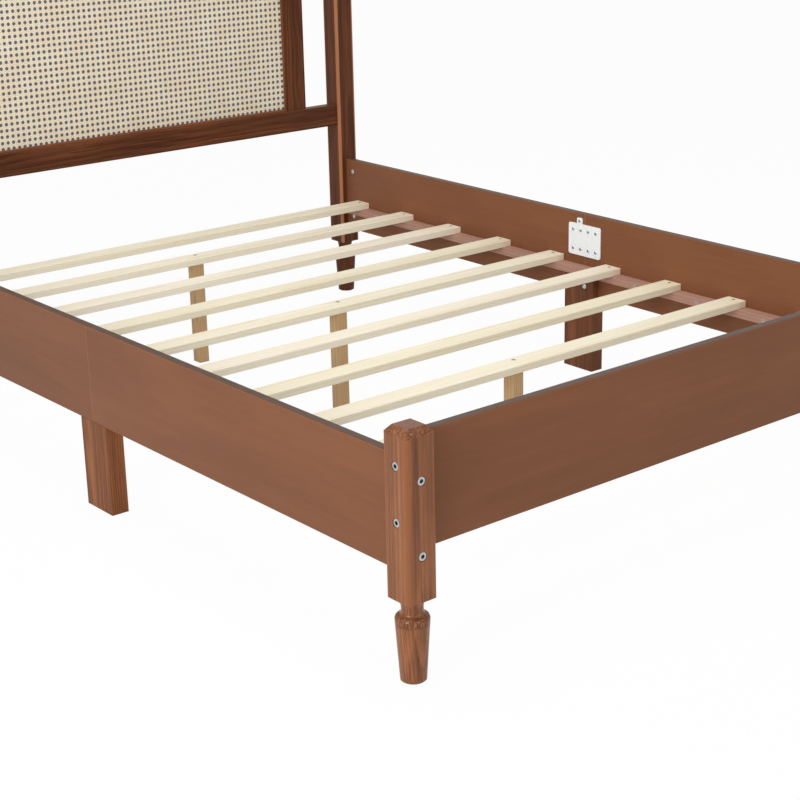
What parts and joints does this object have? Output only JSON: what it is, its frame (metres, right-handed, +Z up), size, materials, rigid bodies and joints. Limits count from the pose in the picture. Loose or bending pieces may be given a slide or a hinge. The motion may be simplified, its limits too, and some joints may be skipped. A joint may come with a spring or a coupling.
{
  "type": "platform bed",
  "caption": "Platform bed frame with turned tapering legs, bolted plank rails, a slatted base on centre legs and an open headboard frame around a cane panel.",
  "frame": {"origin": "on the floor under the middle of the bed", "axes": "+X across the bed to the right as seen from the foot, +Y from the foot towards the headboard, +Z up"},
  "size_m": [1.46, 2.052, 1.095],
  "materials": {
    "stained_wood": "walnut-brown stain with a thin satin lacquer",
    "ledger_wood": "pale reddish stain, sawn and unlacquered",
    "pine": "planed bare pine with small knots",
    "cane": "woven natural cane, satin",
    "backing_board": "matte dark grey paint",
    "white_steel": "white powder coat",
    "zinc_steel": "bright zinc plate"
  },
  "bodies": {
    "root": {"head_post_left": "stained_wood", "head_post_right": "stained_wood", "foot_post_left": "stained_wood", "foot_post_right": "stained_wood", "foot_rail": "stained_wood", "side_rail_left_foot": "stained_wood", "side_rail_left_head": "stained_wood", "side_rail_right_foot": "stained_wood", "side_rail_right_head": "stained_wood", "headboard_cross_rail": "stained_wood", "headboard_top_rail": "stained_wood", "headboard_stile_left": "stained_wood", "headboard_stile_right": "stained_wood", "cane_bead_bottom": "stained_wood", "cane_bead_top": "stained_wood", "cane_bead_left": "stained_wood", "cane_bead_right": "stained_wood", "mid_leg_left": "stained_wood", "mid_leg_right": "stained_wood", "ledger_left_foot": "ledger_wood", "ledger_left_head": "ledger_wood", "ledger_right_foot": "ledger_wood", "ledger_right_head": "ledger_wood", "slat_1": "pine", "slat_2": "pine", "slat_3": "pine", "slat_4": "pine", "slat_5": "pine", "slat_6": "pine", "slat_7": "pine", "slat_8": "pine", "slat_9": "pine", "slat_10": "pine", "centre_leg_1": "pine", "centre_leg_2": "pine", "centre_leg_3": "pine", "cane_panel": "cane", "cane_backing": "backing_board", "joint_plate_left": "white_steel", "joint_plate_right": "white_steel", "mid_leg_bolts": "zinc_steel", "side_rail_bolts": "zinc_steel", "foot_rail_bolts": "zinc_steel", "side_barrel_nuts": "zinc_steel", "foot_barrel_nuts": "zinc_steel"}
  },
  "joints": []
}
